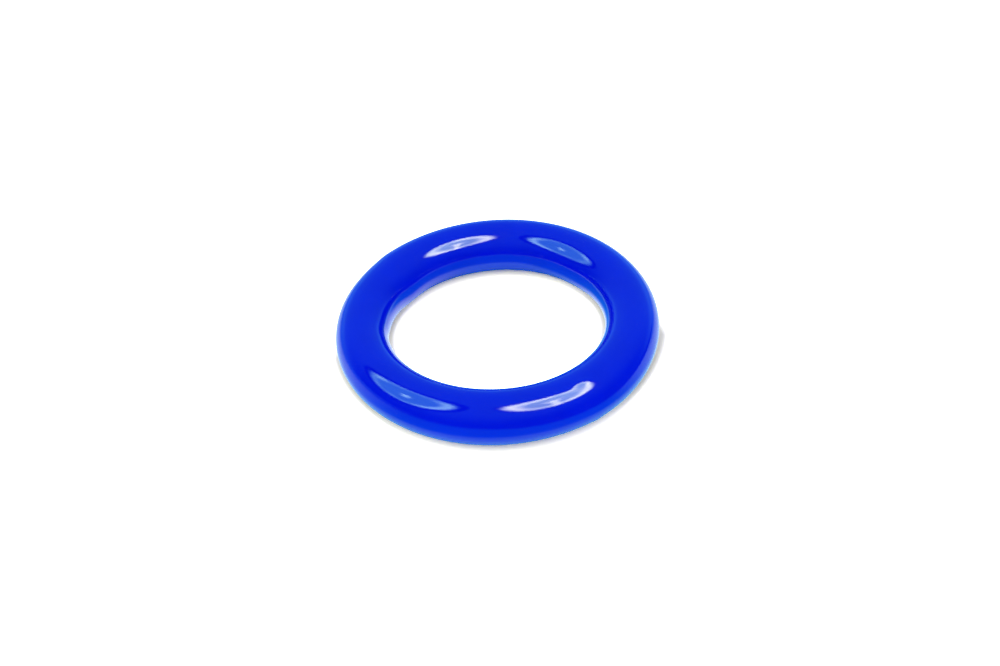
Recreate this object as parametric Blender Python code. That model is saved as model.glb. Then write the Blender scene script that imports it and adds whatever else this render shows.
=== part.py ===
"""Friction ring for opening the screwed backs of watch cases.

The ring is one soft, solid moulding. It is modelled as it lies on a bench: its
centre is over the origin, its axis is +Z, and the narrow land that it rests on
lies at Z = 0. Everything is in metres.
"""

import math

import bmesh
import bpy

# Driving dimensions.
OUTER_DIAMETER = 0.070      # across the whole ring
SECTION_DIAMETER = 0.0116   # thickness of its round section
LAND_WIDTH = 0.0014         # flat band under the section, where the ring rests

# Number of flat faces that stand for each round shape.
RING_STEPS = 80
ARC_STEPS = 30

# Edges that turn more than this stay crisp.
CREASE_ANGLE = math.radians(30)

# Finish of the moulded rubber.
RUBBER_BLUE = (0.003, 0.015, 0.68, 1.0)
RUBBER_ROUGHNESS = 0.12


def clear_scene():
    """Remove whatever the scene starts with."""
    for item in list(bpy.data.objects):
        bpy.data.objects.remove(item, do_unlink=True)


def rubber_material():
    """Glossy blue polyurethane rubber, coloured all through."""
    material = bpy.data.materials.new("friction_rubber")
    material.use_nodes = True
    shader = material.node_tree.nodes["Principled BSDF"]
    shader.inputs["Base Color"].default_value = RUBBER_BLUE
    shader.inputs["Roughness"].default_value = RUBBER_ROUGHNESS
    shader.inputs["Metallic"].default_value = 0.0
    material.diffuse_color = RUBBER_BLUE
    return material


def section_outline():
    """Points of the section in the XZ plane, from one edge of the land to the other.

    The section is a circle with a chord cut off below it: the chord is the land.
    """
    section_radius = SECTION_DIAMETER / 2
    centreline_radius = OUTER_DIAMETER / 2 - section_radius
    land_half_angle = math.asin(LAND_WIDTH / SECTION_DIAMETER)
    centre_height = section_radius * math.cos(land_half_angle)
    start = land_half_angle - math.pi / 2
    sweep = 2 * (math.pi - land_half_angle)
    points = []
    for step in range(ARC_STEPS + 1):
        angle = start + sweep * step / ARC_STEPS
        across = centreline_radius + section_radius * math.cos(angle)
        height = centre_height + section_radius * math.sin(angle)
        points.append((across, 0.0, height))
    return points


def friction_ring():
    """The ring: its section's outline spun once round the Z axis."""
    shape = bmesh.new()
    corners = [shape.verts.new(point) for point in section_outline()]
    edges = [
        shape.edges.new((corners[index - 1], corners[index]))
        for index in range(len(corners))
    ]
    bmesh.ops.spin(
        shape,
        geom=corners + edges,
        cent=(0.0, 0.0, 0.0),
        axis=(0.0, 0.0, 1.0),
        angle=2 * math.pi,
        steps=RING_STEPS,
        use_merge=True,
    )
    bmesh.ops.recalc_face_normals(shape, faces=shape.faces)
    mesh = bpy.data.meshes.new("friction_ring")
    shape.to_mesh(mesh)
    shape.free()
    mesh.shade_smooth()
    mesh.set_sharp_from_angle(angle=CREASE_ANGLE)
    mesh.materials.append(rubber_material())
    ring = bpy.data.objects.new("friction_ring", mesh)
    bpy.context.scene.collection.objects.link(ring)
    return ring


def main():
    clear_scene()
    friction_ring()


main()
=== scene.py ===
"""The finished friction ring and the white table it is shown on.

Everything is in metres. The ring lies flat with its centre over the origin, and
its axis is +Z. A "turn" is an angle round that axis, counted from +X towards +Y.
An angle "around" is one round the section: 0 faces away from the axis, a quarter
turn faces up, and half a turn faces the open middle.
"""

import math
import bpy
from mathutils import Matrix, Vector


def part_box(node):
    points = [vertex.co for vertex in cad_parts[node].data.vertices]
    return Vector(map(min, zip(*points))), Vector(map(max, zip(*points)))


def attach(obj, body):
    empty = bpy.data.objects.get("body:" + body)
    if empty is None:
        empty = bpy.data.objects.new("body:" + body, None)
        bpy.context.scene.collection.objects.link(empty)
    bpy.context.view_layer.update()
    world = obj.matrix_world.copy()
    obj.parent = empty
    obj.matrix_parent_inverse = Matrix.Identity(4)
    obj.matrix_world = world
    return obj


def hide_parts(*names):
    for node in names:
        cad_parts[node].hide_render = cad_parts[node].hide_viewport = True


bl_info = {
    "name": "Friction Ring",
    "version": (1, 0, 0),
    "blender": (4, 5, 0),
    "location": "3D Viewport > Sidebar > Friction Ring",
    "description": "Builds a glossy rubber friction ring and its table-top stage",
    "category": "Add Mesh",
}

import bmesh
import bpy
from bpy.props import (
    FloatProperty,
    FloatVectorProperty,
    IntProperty,
    PointerProperty,
)
from bpy.types import Operator, Panel, PropertyGroup
from mathutils import Matrix, Quaternion, Vector, noise

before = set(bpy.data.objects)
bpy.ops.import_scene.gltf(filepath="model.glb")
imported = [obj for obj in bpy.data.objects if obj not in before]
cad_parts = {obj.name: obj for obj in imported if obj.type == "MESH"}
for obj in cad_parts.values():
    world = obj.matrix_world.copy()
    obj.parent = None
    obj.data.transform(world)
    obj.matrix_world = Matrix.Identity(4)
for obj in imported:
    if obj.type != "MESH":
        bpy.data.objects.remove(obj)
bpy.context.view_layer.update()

RING_NODE = "friction_ring"
RING_LOW, RING_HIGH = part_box(RING_NODE)
RING_WIDTH = RING_HIGH[0] - RING_LOW[0]
RING_HEIGHT = RING_HIGH[2] - RING_LOW[2]

MM = 0.001
MICRON = 0.000001
WHITE = (1.0, 1.0, 1.0, 1.0)

# A pair named ..._BAND, ..._SHARE or ..._REACH holds the two ends of a smooth change.

# Rubber.
LOBES = 3                               # slight lobes of the ring, out of round
RUBBER_IOR = 1.5
RUBBER_SCATTER = (0.05, 0.3, 1.0)       # share of the depth that each colour runs
DRIFT_BAND = (0.35, 0.65)               # of the noise that drifts the colour
SMUDGE_BAND = (0.5, 0.75)               # of the noise that dulls the skin

# Umbrellas, in shares of their radius.
FRONT_SIZE = 1.15                       # radius of the disc that carries the lit front
FRONT_SIDES = 96
MIDDLE_BAND = (0.3, 2.0)                # in shares of the middle's own size
SHAFT_BAND = (0.02, 0.14)               # off the shaft's own line
SHAFT_ROOT_BAND = (-0.1, 0.1)           # along the shaft, where it starts
SHAFT_TIP = 0.7                         # share of its length from where it fades
FIELD_SPILL = 0.06                      # how far the field runs past the rim's end
PATCH_SIZE = 0.35                       # of the rim's uneven patches
PATCH_BAND = (0.3, 0.7)                 # of the noise that makes those patches
LEAN_BAND = (0.2, 0.85)                 # cosines of the turn off the brighter side
SPOT_BAND = (0.95, 0.998)               # cosines of the turn off the short stretch

# The table as the skin mirrors it, a painted reflection with a painted contact shade. A share is X
# or Y over the distance from the axis.
SEAM = 1 * MM                           # blur either side of the section's centreline
BACK_SHARE = (-0.75, 0.15)              # in Y, towards the back
RIGHT_SHARE = (0.45, 0.9)               # in X, towards the right
LEFT_SHARE = (-0.1, -0.6)               # in X, towards the left
CORNER_SHARE = (1.15, 1.38)             # in X and Y added, towards the right and back
CORNER_PULL = 2.8 * MM                  # how much narrower the close light is there
CLOSE_REACH = (8.5 * MM, 11.5 * MM)     # from the centreline
HIDDEN_SHARE = (0.5, 0.95)              # in Y, towards the back
HIDDEN_PULL = 2 * MM                    # how much wider the contact shade is there, inside
CONTACT_REACH = (1 * MM, 6.5 * MM)      # from the centreline
SPREAD_REACH = (60 * MM, 120 * MM)      # from the axis, in front
BEHIND_REACH = (40 * MM, 110 * MM)      # from the axis, at the back
SHEET_REACH = (-3 * MM, 4 * MM)         # from the edge of the sheet

# The table as it is seen. Its shade is painted beside the ring, and cast before it.
TABLE_SIDES = 64
TABLE_DROP = 0.01 * MM                  # keeps the table just clear of the land
FRONTAL_SHARE = (0.35, 0.95)            # in Y, from painted shade to cast shade
OVERHANG_POWER = 1.5                    # how fast the shade widens towards the sides
OVERHANG_TURN = 0.8                     # X share at which it is widest or narrowest
OVERHANG_REACH = (4.1 * MM, 4.6 * MM)   # how much it widens, at the left and the right
SHADE_REACH = (1.8 * MM, 4.2 * MM)      # from the centreline, before it widens
SHADE_DEPTH = 0.22                      # how much darker it is at the sides
TINT_REACH = (1 * MM, 10.5 * MM)        # from the centreline
OUTSIDE_GAIN = 1.05                     # how much brighter it looks outside the ring

# The room, in shares of the direction that is looked in.
HIGH_BAND = (0.1, 0.95)                 # upwards
BACKDROP_BAND = (0.1, 0.8)              # backwards
HORIZON_BAND = (0.04, 0.28)             # upwards

SENSOR_WIDTH = 36.0                     # in mm, as the lens is


def length(name, description, default, **more):
    """A size in metres that the sidebar shows in the scene's own unit."""
    return FloatProperty(
        name=name, description=description, default=default, unit="LENGTH",
        precision=5, **more,
    )


def angle(name, description, degrees):
    """An angle, given in degrees and kept in radians."""
    return FloatProperty(
        name=name, description=description, default=math.radians(degrees),
        subtype="ANGLE",
    )


def colour(name, description, default):
    """A linear colour."""
    return FloatVectorProperty(
        name=name, description=description, default=default, subtype="COLOR",
        size=3, min=0.0, soft_max=1.0,
    )


def amount(name, description, default, **more):
    """A plain number."""
    return FloatProperty(name=name, description=description, default=default, **more)


# ---------------------------------------------------------------- settings


class Swelling(PropertyGroup):
    """A place where the skin stands a little out of round, or in when it is negative."""

    height: length("Height", "How far the skin stands out", 0.1 * MM)
    turn: angle("Turn", "Where its middle is, round the ring", 0)
    before: angle("Before", "Width of its side towards smaller turns", 8)
    after: angle("After", "Width of its side towards larger turns", 8)
    around: angle("Around", "Where its middle is, round the section", 0)
    breadth: angle("Breadth", "Its width round the section", 40)
    slant: amount("Slant", "How much it slants across the ring", 0.0)
    crest: angle("Crest", "Rounding of a sharp crest, or nothing for a smooth one", 0)


class RingShape(PropertyGroup):
    """Size and form of the moulded ring."""

    outer_diameter: length("Outer diameter", "Across the whole ring", RING_WIDTH)
    height: length("Height", "From the table to the top of the section", RING_HEIGHT)
    land_width: length(
        "Land width", "Flat band under the section, where the ring rests", 1.4 * MM
    )
    lobe_height: length(
        "Lobe height", "How far its three slight lobes stand out of round", 0.085 * MM
    )
    lobe_turn: angle("Lobe turn", "Where one of the three lobes is", -54)
    gate: PointerProperty(type=Swelling)
    stub: PointerProperty(type=Swelling)
    crease: PointerProperty(type=Swelling)
    knit: PointerProperty(type=Swelling)
    waist: PointerProperty(type=Swelling)
    inner_knit: PointerProperty(type=Swelling)
    inner_hollow: PointerProperty(type=Swelling)
    inner_swell: PointerProperty(type=Swelling)
    ripple_depth: length("Ripple depth", "Unevenness of the skin", 3 * MICRON)
    ripple_length: length("Ripple length", "Distance between ripples", 3 * MM)
    turn_steps: IntProperty(
        name="Turn steps", description="Faces round the ring", default=600, min=24
    )
    around_steps: IntProperty(
        name="Around steps", description="Faces round the section", default=120, min=12
    )


class RubberFinish(PropertyGroup):
    """Look of the cast polyurethane."""

    blue: colour("Blue", "Colour of the rubber", (0.0003, 0.0062, 0.65))
    deep_blue: colour("Deep blue", "Colour of its darker drifts", (0.0002, 0.0053, 0.625))
    drift_length: length("Drift length", "Distance between colour drifts", 9 * MM)
    roughness: amount("Roughness", "Of the clean skin", 0.045, min=0.0, max=1.0)
    handled_roughness: amount(
        "Handled roughness", "Where fingers have dulled the skin", 0.085, min=0.0, max=1.0
    )
    smudge_length: length("Smudge length", "Size of the dulled patches", 6 * MM)
    depth: length("Depth", "How far blue light runs under the skin", 1.2 * MM)
    glow: amount("Glow", "Share of the light that runs under the skin", 0.35, max=1.0)
    grain_depth: length("Grain depth", "Fine unevenness of the skin", 0.6 * MICRON)
    grain_length: length("Grain length", "Size of that fine grain", 0.7 * MM)


class Lamp(PropertyGroup):
    """A round studio umbrella, with a bright uneven rim and a hot middle."""

    bearing: angle("Bearing", "Turn of the lamp as seen from the ring", 0)
    elevation: angle("Elevation", "Height of the lamp above the table", 45)
    distance: length("Distance", "From the ring to the lamp", 0.92)
    radius: length("Radius", "Of the lamp's round front", 0.42)
    field: amount("Field", "Brightness between middle and rim", 0.8)
    tilt: amount("Tilt", "How much the field brightens towards one side", 0.0)
    middle: amount("Middle", "Extra brightness of the middle", 3.0)
    middle_size: amount("Middle size", "Share of the radius that it takes", 0.12)
    shaft: amount("Shaft", "Extra brightness of the shaft before the umbrella", 0.0)
    shaft_turn: angle("Shaft turn", "Which way the shaft runs from the middle", 0)
    shaft_length: amount("Shaft length", "As a share of the radius", 1.1)
    rim: amount("Rim", "Extra brightness of the rim", 3.0)
    rim_start: amount("Rim start", "Where the rim starts, as a share of the radius", 0.6)
    rim_peak: amount("Rim peak", "Where the rim is brightest", 0.84)
    rim_end: amount("Rim end", "Where the rim ends", 1.06)
    lean: amount("Lean", "How much one side of the rim is brighter", 0.0)
    lean_turn: angle("Lean turn", "Which side of the rim is brighter", 0)
    spot: amount("Spot", "How much brighter a short stretch of the rim is", 0.0)
    spot_turn: angle("Spot turn", "Where that short stretch is", 180)
    pair: amount("Pair", "How much two opposite stretches are brighter", 0.0)
    pair_turn: angle("Pair turn", "Where the two stretches are", 0)
    ragged: amount("Ragged", "How patchy the rim is", 0.5)
    field_tint: colour("Field tint", "Colour of the field", (1.0, 1.0, 1.0))
    tint: colour("Tint", "Colour of the rim, the middle and the shaft", (1.0, 1.0, 1.0))
    power: FloatProperty(
        name="Power", description="Light that it throws on the table", default=1.0,
        unit="POWER",
    )


class StageLook(PropertyGroup):
    """Table, surroundings and camera."""

    table_radius: length("Table radius", "Of the white table", 8.0)
    table_colour: colour("Table colour", "Of the table, as it lights the ring", (0.66, 0.66, 0.66))
    # Table white, side white, inside gain and the two shade tints paint the table's shade beside
    # the ring, as the camera sees it.
    table_white: amount("Table white", "How bright the lit table looks", 1.9)
    side_white: amount("Side white", "How bright it looks close beside the ring", 0.92)
    inside_gain: amount("Inside gain", "How much brighter it looks inside the ring", 1.36)
    table_glow: amount("Table glow", "Light from under the table", 0.35)
    seen_glow: amount("Seen glow", "How much of that glow shows", 0.05)
    shade_tint: colour("Shade tint", "Tint of the shade outside the ring", (1.0, 1.0, 0.45))
    inside_tint: colour("Inside shade tint", "Tint of the shade inside the ring", (1.02, 1.0, 0.36))
    # Painted reflection: the table's colours as the skin mirrors them are painted by place, and
    # contact light is a painted shade under the ring.
    contact_light: colour("Contact light", "Mirrored table under the ring", (0.05, 0.25, 0.3))
    close_light: colour("Close light", "Mirrored table beside the ring", (0.42, 1.1, 1.2))
    inside_light: colour("Inside light", "Mirrored table inside the ring", (0.5, 1.3, 1.6))
    side_light: colour("Side light", "The same at its left and right", (1.15, 1.45, 1.7))
    front_light: colour("Front light", "Mirrored table before the ring", (0.03, 0.56, 1.2))
    back_light: colour("Back light", "Mirrored table behind the ring", (0.95, 1.4, 1.5))
    far_light: colour("Far light", "Mirrored table further back", (0.1, 0.5, 1.15))
    beyond_light: colour("Beyond light", "Mirrored floor past the sheet", (0.008, 0.07, 0.3))
    sheet_turn: angle("Sheet turn", "Which way the edge of the sheet faces", -48)
    sheet_reach: length("Sheet reach", "From the ring's axis to that edge", 0.056)
    dome: amount("Dome", "Brightness of the white surroundings", 1.15)
    high_tint: colour("High tint", "Of the room above, in the skin", (0.09, 0.4, 0.9))
    low_tint: colour("Low tint", "Of the room lower down", (0.0, 0.06, 0.35))
    back_tint: colour("Back tint", "Of the backdrop, in the skin", (0.085, 0.38, 0.8))
    horizon_tint: colour("Horizon tint", "Of the foot of the backdrop", (0.15, 0.65, 1.3))
    lens: amount("Lens", "Focal length in mm", 69.05)
    camera_elevation: angle("Camera elevation", "Above the table", 39.48)
    camera_distance: amount(
        "Camera distance", "In radii of the section's centreline", 14.217
    )
    camera_roll: angle("Camera roll", "Of the picture, clockwise", 4.134)
    aim_right: length("Aim right", "How far right of the ring it aims", 0.545 * MM)
    aim_up: length("Aim up", "How far above the ring it aims", -1.44 * MM)
    key_lamp: PointerProperty(type=Lamp)
    fill_lamp: PointerProperty(type=Lamp)


# ---------------------------------------------------------------- node helpers


class Nodes:
    """Adds nodes to one tree, with constants and links given as inputs."""

    def __init__(self, tree):
        self.tree = tree
        tree.nodes.clear()

    def add(self, kind, inputs=None, **settings):
        """A node whose inputs are constants or other nodes' outputs."""
        node = self.tree.nodes.new(kind)
        for name, value in settings.items():
            setattr(node, name, value)
        for name, value in (inputs or {}).items():
            socket = node.inputs[name]
            if isinstance(value, bpy.types.NodeSocket):
                self.tree.links.new(value, socket)
            else:
                socket.default_value = value
        return node

    def maths(self, operation, first, second=0.0):
        """The result of one sum, product or function."""
        node = self.add("ShaderNodeMath", {0: first, 1: second}, operation=operation)
        return node.outputs[0]

    def smooth_step(self, value, start, end, low=0.0, high=1.0):
        """Goes smoothly from low to high while value goes from start to end."""
        node = self.add(
            "ShaderNodeMapRange",
            {"Value": value, 1: start, 2: end, 3: low, 4: high},
            interpolation_type="SMOOTHSTEP",
        )
        return node.outputs[0]

    def blend(self, share, first, second):
        """A colour that goes from first to second as share goes from 0 to 1."""
        node = self.add("ShaderNodeMix", data_type="RGBA")
        inputs = (node.inputs[0], node.inputs[6], node.inputs[7])
        for socket, value in zip(inputs, (share, first, second)):
            if isinstance(value, bpy.types.NodeSocket):
                self.tree.links.new(value, socket)
            else:
                socket.default_value = value
        return node.outputs[2]

    def distance(self, place):
        """How far a place is from the middle."""
        return self.add("ShaderNodeVectorMath", {0: place}, operation="LENGTH").outputs["Value"]

    def noise(self, place, spacing, detail=2.0):
        """Noise from 0 to 1 whose features are about spacing apart."""
        node = self.add(
            "ShaderNodeTexNoise",
            {"Vector": place, "Scale": 1.0 / spacing, "Detail": detail},
        )
        return node.outputs["Fac"]


def rgba(rgb):
    """The same colour with a full fourth channel."""
    return (rgb[0], rgb[1], rgb[2], 1.0)


def new_material(name):
    """An empty material and the means to fill its tree."""
    material = bpy.data.materials.new(name)
    material.use_nodes = True
    return material, Nodes(material.node_tree)


# ---------------------------------------------------------------- ring


def signed(turn):
    """The same angle between minus half a turn and half a turn."""
    return (turn + math.pi) % (2 * math.pi) - math.pi


def bump(away, before, after):
    """A smooth bump from 0 to 1, with a width of its own on either side."""
    return math.exp(-0.5 * (away / (before if away < 0 else after)) ** 2)


def ridge(away, before, after, crest):
    """A ridge from 0 to 1 with straight flanks that meet in a rounded crest."""
    run = math.hypot(away, crest) - crest
    return math.exp(-run / (before if away < 0 else after))


def swelling_at(item, turn, around):
    """How far one swelling lifts the skin."""
    away = signed(turn - item.turn)
    across = signed(around - item.around) + item.slant * away
    if item.crest:
        along = ridge(away, item.before, item.after, item.crest)
    else:
        along = bump(away, item.before, item.after)
    return item.height * along * bump(across, item.breadth, item.breadth)


def skin_offset(shape, turn, around):
    """How far the skin stands out from the plain round section."""
    swellings = (
        shape.gate, shape.stub, shape.crease, shape.knit, shape.waist,
        shape.inner_knit, shape.inner_hollow, shape.inner_swell,
    )
    return sum(swelling_at(item, turn, around) for item in swellings)


def ring_point(shape, turn, around):
    """A point of the skin."""
    half_land = shape.land_width / 2
    section = (shape.height ** 2 + half_land ** 2) / (2 * shape.height)
    centre_height = shape.height - section
    lobes = shape.lobe_height * math.cos(LOBES * (turn - shape.lobe_turn))
    centreline = shape.outer_diameter / 2 - section + lobes
    radius = section + skin_offset(shape, turn, around)
    across = centreline + radius * math.cos(around)
    height = centre_height + radius * math.sin(around)
    place = Vector((across * math.cos(turn), across * math.sin(turn), height))
    ripple = shape.ripple_depth * noise.noise(place / shape.ripple_length)
    facing = Vector((
        math.cos(around) * math.cos(turn),
        math.cos(around) * math.sin(turn),
        math.sin(around),
    ))
    place += facing * ripple
    place.z = max(place.z, 0.0)
    return place


def ring_mesh(shape):
    """The skin as a closed grid of faces, with a map along and around it."""
    form = bmesh.new()
    map_layer = form.loops.layers.uv.new("OFBake")
    turns, arounds = shape.turn_steps, shape.around_steps
    loops = []
    for i in range(turns):
        turn = 2 * math.pi * i / turns
        loops.append([
            form.verts.new(ring_point(shape, turn, 2 * math.pi * j / arounds))
            for j in range(arounds)
        ])
    for i in range(turns):
        here, beyond = loops[i], loops[(i + 1) % turns]
        for j in range(arounds):
            above = (j + 1) % arounds
            face = form.faces.new((here[j], beyond[j], beyond[above], here[above]))
            face.smooth = True
            corners = ((i, j), (i + 1, j), (i + 1, j + 1), (i, j + 1))
            for loop, (along, up) in zip(face.loops, corners):
                loop[map_layer].uv = (along / turns, up / arounds)
    mesh = bpy.data.meshes.new("moulded_ring")
    form.to_mesh(mesh)
    form.free()
    return mesh


def rubber_material(finish):
    """Glossy blue rubber: slow colour drifts, dulled patches and a fine grain."""
    material, nodes = new_material("friction_rubber")
    place = nodes.add("ShaderNodeTexCoord").outputs["Object"]
    drift = nodes.smooth_step(nodes.noise(place, finish.drift_length), *DRIFT_BAND)
    smudge = nodes.noise(place, finish.smudge_length, detail=4.0)
    smudge = nodes.smooth_step(smudge, *SMUDGE_BAND)
    roughness = nodes.add(
        "ShaderNodeMapRange",
        {"Value": smudge, 3: finish.roughness, 4: finish.handled_roughness},
    )
    grain = nodes.add(
        "ShaderNodeBump",
        {
            "Height": nodes.noise(place, finish.grain_length, detail=3.0),
            "Distance": finish.grain_depth,
        },
    )
    shader = nodes.add(
        "ShaderNodeBsdfPrincipled",
        {
            "Base Color": nodes.blend(drift, rgba(finish.blue), rgba(finish.deep_blue)),
            "Roughness": roughness.outputs[0],
            "Normal": grain.outputs[0],
            "IOR": RUBBER_IOR,
            "Subsurface Weight": finish.glow,
            "Subsurface Radius": RUBBER_SCATTER,
            "Subsurface Scale": finish.depth,
        },
    )
    nodes.add("ShaderNodeOutputMaterial", {"Surface": shader.outputs[0]})
    return material


class FRICTIONRING_OT_ring(Operator):
    """Mould the rubber ring over its solid"""

    bl_idname = "friction_ring.ring"
    bl_label = "Rubber ring"

    def execute(self, context):
        settings = context.scene
        ring = bpy.data.objects.new("rubber_ring", ring_mesh(settings.ring_shape))
        context.collection.objects.link(ring)
        ring.data.materials.append(rubber_material(settings.rubber_finish))
        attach(ring, "root")
        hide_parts(RING_NODE)
        return {"FINISHED"}


# ---------------------------------------------------------------- stage


def seen_in_gloss_only(piece):
    """Hides a lamp front from everything but mirror-like reflections."""
    piece.visible_camera = False
    piece.visible_diffuse = False
    piece.visible_transmission = False
    piece.visible_volume_scatter = False
    piece.visible_shadow = False


def lamp_place(lamp):
    """The lamp's place and turn: its front faces the ring."""
    out = Vector((
        math.cos(lamp.elevation) * math.cos(lamp.bearing),
        math.cos(lamp.elevation) * math.sin(lamp.bearing),
        math.sin(lamp.elevation),
    ))
    facing = out.to_track_quat("Z", "Y").to_matrix().to_4x4()
    return Matrix.Translation(out * lamp.distance) @ facing


def shaft_glow(nodes, place, lamp):
    """The bright shaft, from the middle of the umbrella towards its rim."""
    turned = nodes.add(
        "ShaderNodeVectorRotate",
        {"Vector": place, "Angle": -lamp.shaft_turn},
        rotation_type="Z_AXIS",
    )
    parts = nodes.add("ShaderNodeSeparateXYZ", {0: turned.outputs[0]})
    along = parts.outputs["X"]
    beside = nodes.maths("ABSOLUTE", parts.outputs["Y"])
    width = nodes.smooth_step(beside, *SHAFT_BAND, lamp.shaft, 0.0)
    root = nodes.smooth_step(along, *SHAFT_ROOT_BAND)
    tip = nodes.smooth_step(along, SHAFT_TIP * lamp.shaft_length, lamp.shaft_length, 1.0, 0.0)
    return nodes.maths("MULTIPLY", nodes.maths("MULTIPLY", width, root), tip)


def rim_glow(nodes, place, out, lamp):
    """The uneven rim: patches, a brighter side, two opposite stretches and a short one."""
    parts = nodes.add("ShaderNodeSeparateXYZ", {0: place})
    turn = nodes.maths("ARCTAN2", parts.outputs["Y"], parts.outputs["X"])
    lean = nodes.maths("COSINE", nodes.maths("SUBTRACT", turn, lamp.lean_turn))
    lean = nodes.smooth_step(lean, *LEAN_BAND)
    pair = nodes.maths("MULTIPLY", nodes.maths("SUBTRACT", turn, lamp.pair_turn), 2.0)
    pair = nodes.maths("COSINE", pair)
    spot = nodes.maths("COSINE", nodes.maths("SUBTRACT", turn, lamp.spot_turn))
    spot = nodes.smooth_step(spot, *SPOT_BAND)
    patches = nodes.noise(place, PATCH_SIZE, detail=3.0)
    glow = nodes.smooth_step(patches, *PATCH_BAND, 1 - lamp.ragged, 1 + lamp.ragged)
    for part, extra in ((lean, lamp.lean), (pair, lamp.pair), (spot, lamp.spot)):
        glow = nodes.maths("ADD", glow, nodes.maths("MULTIPLY", part, extra))
    glow = nodes.maths("MULTIPLY", nodes.maths("MAXIMUM", glow, 0.0), lamp.rim)
    return nodes.maths("MULTIPLY", nodes.smooth_step(out, lamp.rim_start, lamp.rim_peak), glow)


def lamp_light(nodes, out, lamp, glow, tint, edge):
    """Light of one tint that fades from the peak of the rim to an edge."""
    fade = nodes.smooth_step(out, lamp.rim_peak, edge, 1.0, 0.0)
    strength = nodes.maths("MULTIPLY", glow, fade)
    light = nodes.add("ShaderNodeEmission", {"Color": rgba(tint), "Strength": strength})
    return light.outputs[0]


def lamp_material(name, lamp):
    """The lit umbrella: its field, its hot middle and shaft, and its uneven rim."""
    material, nodes = new_material(name)
    place = nodes.add("ShaderNodeTexCoord").outputs["Object"]
    place = nodes.add(
        "ShaderNodeVectorMath", {0: place, 3: 1 / lamp.radius}, operation="SCALE"
    ).outputs[0]
    out = nodes.distance(place)

    sideways = nodes.add("ShaderNodeSeparateXYZ", {0: place}).outputs["X"]
    tilted = nodes.maths("MULTIPLY", sideways, lamp.tilt * lamp.field)
    field = nodes.maths("ADD", tilted, lamp.field)
    core, fade = (share * lamp.middle_size for share in MIDDLE_BAND)
    extra = nodes.smooth_step(out, core, fade, lamp.middle, 0.0)
    extra = nodes.maths("ADD", extra, shaft_glow(nodes, place, lamp))
    extra = nodes.maths("ADD", extra, rim_glow(nodes, place, out, lamp))

    spill = lamp.rim_end + FIELD_SPILL
    field_light = lamp_light(nodes, out, lamp, field, lamp.field_tint, spill)
    extra_light = lamp_light(nodes, out, lamp, extra, lamp.tint, lamp.rim_end)
    shader = nodes.add("ShaderNodeAddShader", {0: field_light, 1: extra_light})
    nodes.add("ShaderNodeOutputMaterial", {"Surface": shader.outputs[0]})
    return material


def add_lamp(context, name, lamp, lit):
    """A lamp: the front that the skin mirrors, and the light that it throws on the table."""
    form = bmesh.new()
    bmesh.ops.create_circle(
        form, cap_ends=True, segments=FRONT_SIDES, radius=FRONT_SIZE * lamp.radius
    )
    mesh = bpy.data.meshes.new(name + "_front")
    form.to_mesh(mesh)
    form.free()
    mesh.materials.append(lamp_material(name + "_diffuser", lamp))
    front = bpy.data.objects.new(name + "_front", mesh)
    front.matrix_world = lamp_place(lamp)
    context.collection.objects.link(front)
    seen_in_gloss_only(front)
    data = bpy.data.lights.new(name + "_light", "AREA")
    data.shape = "DISK"
    data.size = 2 * lamp.radius
    data.energy = lamp.power
    light = bpy.data.objects.new(name + "_light", data)
    light.matrix_world = lamp_place(lamp)
    light.visible_glossy = False
    light.visible_camera = False
    light.light_linking.receiver_collection = lit
    context.collection.objects.link(light)


class RingGround:
    """Where a point of the table lies, seen from the ring.

    out is its distance from the axis and away is that from the section's centreline.
    across and beyond are its X and Y as shares of out, and outside is 1 outside the
    centreline and 0 inside it.
    """

    def __init__(self, nodes, shape, place):
        centreline = (shape.outer_diameter - shape.height) / 2
        parts = nodes.add("ShaderNodeSeparateXYZ", {0: place})
        self.out = nodes.distance(place)
        self.away = nodes.maths("ABSOLUTE", nodes.maths("SUBTRACT", self.out, centreline))
        self.across = nodes.maths("DIVIDE", parts.outputs["X"], self.out)
        self.beyond = nodes.maths("DIVIDE", parts.outputs["Y"], self.out)
        self.outside = nodes.smooth_step(self.out, centreline - SEAM, centreline + SEAM)


def past_sheet(nodes, look, place):
    """Whether a point lies past the edge of the white sheet."""
    facing = Vector((math.cos(look.sheet_turn), math.sin(look.sheet_turn), 0.0))
    reach = nodes.add("ShaderNodeVectorMath", {0: place, 1: facing}, operation="DOT_PRODUCT")
    start, end = (look.sheet_reach + further for further in SHEET_REACH)
    return nodes.smooth_step(reach.outputs["Value"], start, end)


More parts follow.
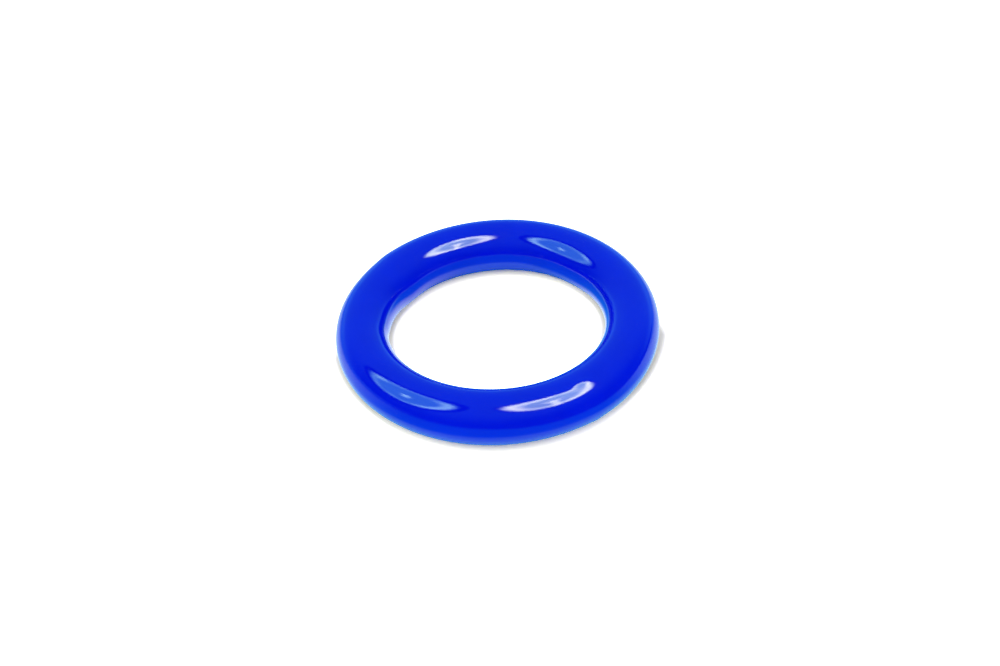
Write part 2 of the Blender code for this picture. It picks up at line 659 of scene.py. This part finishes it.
def painted_table_reflection(nodes, look, ground, place):
    """The table as the skin mirrors it, painted: bright beside and behind the ring, with a painted
    shade where it meets the ring.
    """
    at_right = nodes.smooth_step(ground.across, *RIGHT_SHARE)
    at_left = nodes.smooth_step(ground.across, *LEFT_SHARE)
    at_side = nodes.maths("MAXIMUM", at_right, at_left)
    inside = nodes.blend(at_side, rgba(look.inside_light), rgba(look.side_light))
    close = nodes.blend(ground.outside, inside, rgba(look.close_light))

    corner = nodes.maths("ADD", ground.across, ground.beyond)
    pull = nodes.smooth_step(corner, *CORNER_SHARE, 0.0, CORNER_PULL)
    near = nodes.smooth_step(nodes.maths("ADD", ground.away, pull), *CLOSE_REACH)
    front = nodes.blend(near, close, rgba(look.front_light))
    spread = nodes.smooth_step(ground.out, *SPREAD_REACH)
    front = nodes.blend(spread, front, rgba(look.beyond_light))

    far = nodes.smooth_step(ground.out, *BEHIND_REACH)
    behind = nodes.blend(far, rgba(look.back_light), rgba(look.far_light))
    back = nodes.smooth_step(ground.beyond, *BACK_SHARE)
    tone = nodes.blend(nodes.maths("MULTIPLY", back, ground.outside), front, behind)
    tone = nodes.blend(past_sheet(nodes, look, place), tone, rgba(look.beyond_light))

    hidden = nodes.smooth_step(ground.beyond, *HIDDEN_SHARE, 0.0, HIDDEN_PULL)
    hidden = nodes.maths("MULTIPLY", hidden, nodes.maths("SUBTRACT", 1.0, ground.outside))
    clear = nodes.smooth_step(nodes.maths("SUBTRACT", ground.away, hidden), *CONTACT_REACH)
    return nodes.blend(clear, rgba(look.contact_light), tone)


def seen_table(nodes, look, ground):
    """The table as it is seen: white, with a narrow tinted shade painted beside the ring."""
    frontal = nodes.maths("ABSOLUTE", ground.beyond)
    overhang = nodes.maths("POWER", nodes.maths("SUBTRACT", 1.0, frontal), OVERHANG_POWER)
    reach = nodes.smooth_step(ground.across, -OVERHANG_TURN, OVERHANG_TURN, *OVERHANG_REACH)
    reached = nodes.maths("SUBTRACT", ground.away, nodes.maths("MULTIPLY", overhang, reach))
    in_front = nodes.smooth_step(frontal, *FRONTAL_SHARE)
    share = nodes.maths("MAXIMUM", in_front, nodes.smooth_step(reached, *SHADE_REACH))

    shaded = nodes.maths("SUBTRACT", 1.0, nodes.maths("MULTIPLY", overhang, SHADE_DEPTH))
    shaded = nodes.maths("MULTIPLY", shaded, look.side_white)
    white = nodes.maths("MULTIPLY", share, nodes.maths("SUBTRACT", look.table_white, shaded))
    white = nodes.maths("ADD", white, shaded)
    gain = nodes.smooth_step(ground.outside, 0.0, 1.0, look.inside_gain, OUTSIDE_GAIN)
    white = nodes.maths("MULTIPLY", white, gain)

    shade = nodes.blend(ground.outside, rgba(look.inside_tint), rgba(look.shade_tint))
    tint = nodes.blend(nodes.smooth_step(ground.away, *TINT_REACH), shade, WHITE)
    seen = nodes.add("ShaderNodeVectorMath", {0: tint, 3: white}, operation="SCALE")
    return seen.outputs[0]


def table_material(look, shape):
    """A white table, lit from above and a little from below. As it is seen, its shade beside the
    ring is painted, and as the skin mirrors it, it is a painted reflection.
    """
    material, nodes = new_material("table")
    place = nodes.add("ShaderNodeTexCoord").outputs["Object"]
    path = nodes.add("ShaderNodeLightPath")
    seen_share = path.outputs["Is Camera Ray"]
    ground = RingGround(nodes, shape, place)
    seen = seen_table(nodes, look, ground)
    # Camera rays see the painted shade; other rays see the table's plain colour.
    tone = nodes.blend(seen_share, rgba(look.table_colour), seen)
    body = nodes.add("ShaderNodeBsdfDiffuse", {"Color": tone})
    strength = nodes.add(
        "ShaderNodeMapRange", {"Value": seen_share, 3: look.table_glow, 4: look.seen_glow}
    )
    glow = nodes.add("ShaderNodeEmission", {"Strength": strength.outputs[0]})
    plain = nodes.add("ShaderNodeAddShader", {0: body.outputs[0], 1: glow.outputs[0]})
    # Glossy rays see a painted reflection of the table, not its lit surface.
    painted_reflection = nodes.add(
        "ShaderNodeEmission", {"Color": painted_table_reflection(nodes, look, ground, place)}
    )
    shader = nodes.add(
        "ShaderNodeMixShader",
        {0: path.outputs["Is Glossy Ray"], 1: plain.outputs[0], 2: painted_reflection.outputs[0]},
    )
    nodes.add("ShaderNodeOutputMaterial", {"Surface": shader.outputs[0]})
    return material


def add_table(context, look, shape):
    """The table, and the collection of what the lamps light: the table only."""
    form = bmesh.new()
    bmesh.ops.create_circle(
        form, cap_ends=True, segments=TABLE_SIDES, radius=look.table_radius
    )
    mesh = bpy.data.meshes.new("table")
    form.to_mesh(mesh)
    form.free()
    mesh.materials.append(table_material(look, shape))
    table = bpy.data.objects.new("table", mesh)
    table.location.z = -TABLE_DROP
    context.collection.objects.link(table)
    lit = bpy.data.collections.new("lit_by_lamps")
    lit.objects.link(table)
    return lit


def add_surroundings(context, look):
    """White all round for lighting, and a dim room for reflections."""
    world = bpy.data.worlds.new("studio")
    world.use_nodes = True
    context.scene.world = world
    nodes = Nodes(world.node_tree)
    direction = nodes.add("ShaderNodeTexCoord").outputs["Generated"]
    parts = nodes.add("ShaderNodeSeparateXYZ", {0: direction})
    high = nodes.smooth_step(parts.outputs["Z"], *HIGH_BAND)
    room = nodes.blend(high, rgba(look.low_tint), rgba(look.high_tint))
    behind = nodes.smooth_step(parts.outputs["Y"], *BACKDROP_BAND)
    low = nodes.smooth_step(parts.outputs["Z"], *HORIZON_BAND, 1.0, 0.0)
    backdrop = nodes.blend(low, rgba(look.back_tint), rgba(look.horizon_tint))
    room = nodes.blend(behind, room, backdrop)
    path = nodes.add("ShaderNodeLightPath")
    dome = (look.dome, look.dome, look.dome, 1.0)
    around = nodes.blend(path.outputs["Is Camera Ray"], dome, WHITE)
    seen = nodes.blend(path.outputs["Is Glossy Ray"], around, room)
    shader = nodes.add("ShaderNodeBackground", {"Color": seen, "Strength": 1.0})
    nodes.add("ShaderNodeOutputWorld", {"Surface": shader.outputs[0]})


def add_camera(context, look, shape):
    """A camera in front of the ring, aimed just beside its middle."""
    section = shape.height / 2
    centre = Vector((0.0, 0.0, section))
    distance = look.camera_distance * (shape.outer_diameter / 2 - section)
    away = Vector((0.0, -math.cos(look.camera_elevation), math.sin(look.camera_elevation)))
    roll = Quaternion((0.0, 0.0, 1.0), -look.camera_roll)
    square_on = (-away).to_track_quat("-Z", "Y") @ roll
    aim = centre + square_on @ Vector((look.aim_right, look.aim_up, 0.0))
    place = centre + away * distance
    data = bpy.data.cameras.new("camera")
    data.sensor_width = SENSOR_WIDTH
    data.lens = look.lens
    camera = bpy.data.objects.new("camera", data)
    camera.location = place
    camera.rotation_mode = "QUATERNION"
    camera.rotation_quaternion = (aim - place).to_track_quat("-Z", "Y") @ roll
    context.collection.objects.link(camera)
    context.scene.camera = camera


class FRICTIONRING_OT_stage(Operator):
    """Lay the white table, and set up the lamps, the room and the camera"""

    bl_idname = "friction_ring.stage"
    bl_label = "Table, lamps and camera"

    def execute(self, context):
        look = context.scene.ring_stage
        lit = add_table(context, look, context.scene.ring_shape)
        add_surroundings(context, look)
        add_lamp(context, "key_lamp", look.key_lamp, lit)
        add_lamp(context, "fill_lamp", look.fill_lamp, lit)
        add_camera(context, look, context.scene.ring_shape)
        context.scene.view_settings.view_transform = "Standard"
        return {"FINISHED"}


# ---------------------------------------------------------------- this ring's values


def fill_in(group, **values):
    """Sets several of a group's values."""
    for name, value in values.items():
        setattr(group, name, value)


def set_swelling(item, height, turn, before, after, around, breadth, slant=0.0, crest=0.0):
    """Fills in one swelling, with its angles in degrees."""
    fill_in(
        item,
        height=height,
        turn=math.radians(turn),
        before=math.radians(before),
        after=math.radians(after),
        around=math.radians(around),
        breadth=math.radians(breadth),
        slant=slant,
        crest=math.radians(crest),
    )


def set_swellings(shape):
    """What the mould left: the gate and its stub, and the far knit line."""
    set_swelling(
        shape.gate, 0.3 * MM, turn=-49, before=12, after=10, around=20, breadth=44
    )
    set_swelling(
        shape.stub, 0.22 * MM, turn=-57.6, before=3, after=3, around=70.3, breadth=6.3,
        slant=1.25,
    )
    set_swelling(
        shape.crease, 0.26 * MM, turn=-55.3, before=5, after=2, around=-72, breadth=30,
        crest=0.6,
    )
    set_swelling(
        shape.knit, 0.11 * MM, turn=136.5, before=7, after=3, around=30, breadth=45,
        crest=1.2,
    )
    set_swelling(
        shape.waist, -0.1 * MM, turn=148, before=8, after=8, around=45, breadth=70
    )
    set_swelling(
        shape.inner_knit, 0.36 * MM, turn=139, before=8, after=6, around=-155, breadth=40
    )
    set_swelling(
        shape.inner_hollow, -0.15 * MM, turn=184, before=5, after=6, around=180, breadth=40
    )
    set_swelling(
        shape.inner_swell, 0.2 * MM, turn=43, before=8, after=10, around=-160, breadth=40
    )


def set_lamps(look):
    """The two umbrellas, high over the table: one to the right, one to the left."""
    fill_in(
        look.key_lamp,
        bearing=math.radians(-40.4),
        elevation=math.radians(64.5),
        radius=0.35,
        field=4.8,
        tilt=0.3,
        field_tint=(1.0, 1.5, 0.72),
        tint=(1.0, 0.87, 0.55),
        middle=5.5,
        middle_size=0.15,
        shaft=10.5,
        shaft_turn=math.radians(-112),
        rim=9.6,
        rim_start=0.44,
        rim_peak=0.78,
        rim_end=1.08,
        pair=0.42,
        pair_turn=math.radians(-45),
        spot=0.5,
        spot_turn=math.radians(68),
        ragged=0.25,
        power=0.55,
    )
    fill_in(
        look.fill_lamp,
        bearing=math.radians(-173.1),
        elevation=math.radians(48.5),
        radius=0.432,
        field=0.62,
        field_tint=(1.0, 4.2, 2.6),
        tint=(1.0, 1.6, 1.1),
        middle=3.2,
        middle_size=0.08,
        shaft=2.5,
        shaft_turn=math.radians(-62),
        shaft_length=0.28,
        rim=0.85,
        rim_start=0.56,
        rim_peak=0.77,
        rim_end=0.97,
        lean=3.8,
        lean_turn=math.radians(28),
        spot=2.2,
        spot_turn=math.radians(178),
        ragged=0.6,
        power=2.4,
    )


# ---------------------------------------------------------------- sidebar


def draw_group(layout, group):
    """A box of one group's values, with a box inside it for each group it holds."""
    box = layout.box()
    for name, item in group.bl_rna.properties.items():
        if name in ("rna_type", "name"):
            continue
        if item.type == "POINTER":
            box.label(text=name.replace("_", " ").capitalize())
            draw_group(box, getattr(group, name))
        else:
            box.prop(group, name)


class VIEW3D_PT_friction_ring(Panel):
    """Sizes, colours and buttons"""

    bl_label = "Friction Ring"
    bl_space_type = "VIEW_3D"
    bl_region_type = "UI"
    bl_category = "Friction Ring"

    def draw(self, context):
        layout = self.layout
        draw_group(layout, context.scene.ring_shape)
        draw_group(layout, context.scene.rubber_finish)
        draw_group(layout, context.scene.ring_stage)
        layout.operator(FRICTIONRING_OT_ring.bl_idname)
        layout.operator(FRICTIONRING_OT_stage.bl_idname)


CLASSES = (
    Swelling,
    RingShape,
    RubberFinish,
    Lamp,
    StageLook,
    FRICTIONRING_OT_ring,
    FRICTIONRING_OT_stage,
    VIEW3D_PT_friction_ring,
)


def register():
    for item in CLASSES:
        bpy.utils.register_class(item)
    bpy.types.Scene.ring_shape = PointerProperty(type=RingShape)
    bpy.types.Scene.rubber_finish = PointerProperty(type=RubberFinish)
    bpy.types.Scene.ring_stage = PointerProperty(type=StageLook)


def unregister():
    del bpy.types.Scene.ring_stage
    del bpy.types.Scene.rubber_finish
    del bpy.types.Scene.ring_shape
    for item in reversed(CLASSES):
        bpy.utils.unregister_class(item)


def main():
    register()
    set_swellings(bpy.context.scene.ring_shape)
    set_lamps(bpy.context.scene.ring_stage)
    bpy.ops.friction_ring.stage()
    bpy.ops.friction_ring.ring()


if __name__ == "__main__":
    main()
